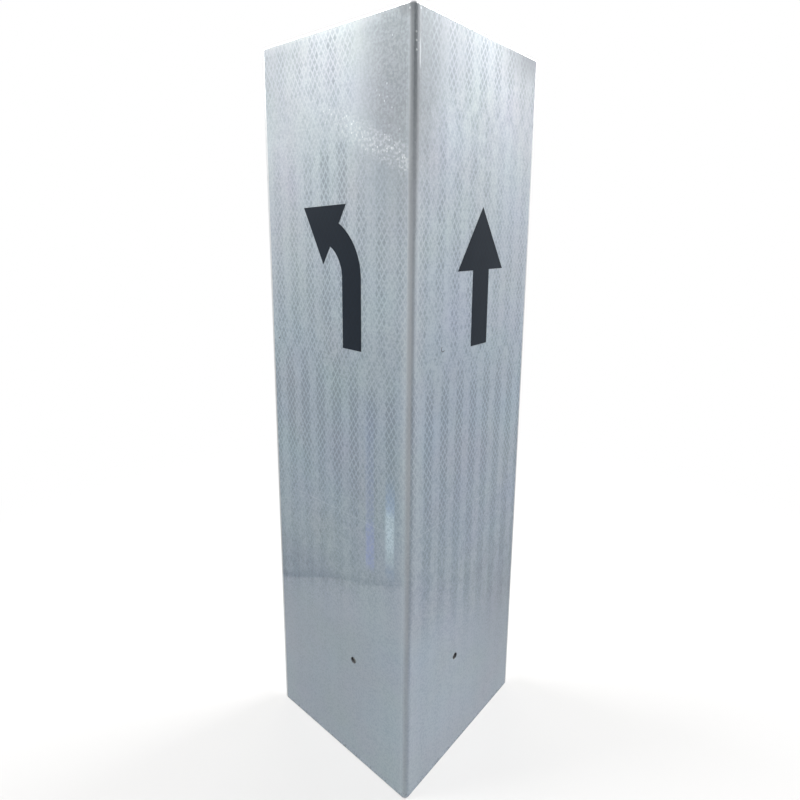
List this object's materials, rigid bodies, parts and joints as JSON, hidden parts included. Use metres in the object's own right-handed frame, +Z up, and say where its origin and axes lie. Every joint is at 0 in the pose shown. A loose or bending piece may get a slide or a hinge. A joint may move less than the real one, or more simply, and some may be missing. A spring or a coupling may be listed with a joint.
{
  "type": "bend warning sign",
  "caption": "Upright V-folded aluminium bend sign, with reflective film and a black arrow on each face, tie bars across the back and hoops that clamp it to a round post.",
  "frame": {"origin": "on the base plane, under the middle of the whole sign's box", "axes": "+Z up along the fold, -Y towards the fold and the viewer, +X to the viewer's right"},
  "size_m": [0.224, 0.1308, 0.6],
  "materials": {
    "sheet_aluminium": "mill-finish sheet with fine rolling lines",
    "reflective_film": "clear gloss over silver-white prisms with upright bars and a fine lattice",
    "black_film": "smooth black vinyl, low gloss",
    "galvanised_steel": "hot-dip galvanised, faint spangle",
    "zinc_plated_steel": "bright zinc plating"
  },
  "bodies": {
    "root": {"sign_plate": "sheet_aluminium", "reflective_sheet": "reflective_film", "left_bend_arrow": "black_film", "right_straight_arrow": "black_film", "upper_tie_bar": "galvanised_steel", "lower_tie_bar": "galvanised_steel", "upper_post_hoop": "galvanised_steel", "lower_post_hoop": "galvanised_steel", "upper_tie_bolts": "zinc_plated_steel", "upper_tie_washers": "zinc_plated_steel", "upper_tie_nuts": "zinc_plated_steel", "lower_tie_bolts": "zinc_plated_steel", "lower_tie_washers": "zinc_plated_steel", "lower_tie_nuts": "zinc_plated_steel", "upper_hoop_bolts": "zinc_plated_steel", "upper_hoop_washers": "zinc_plated_steel", "upper_hoop_nuts": "zinc_plated_steel", "lower_hoop_bolts": "zinc_plated_steel", "lower_hoop_washers": "zinc_plated_steel", "lower_hoop_nuts": "zinc_plated_steel"}
  },
  "joints": []
}
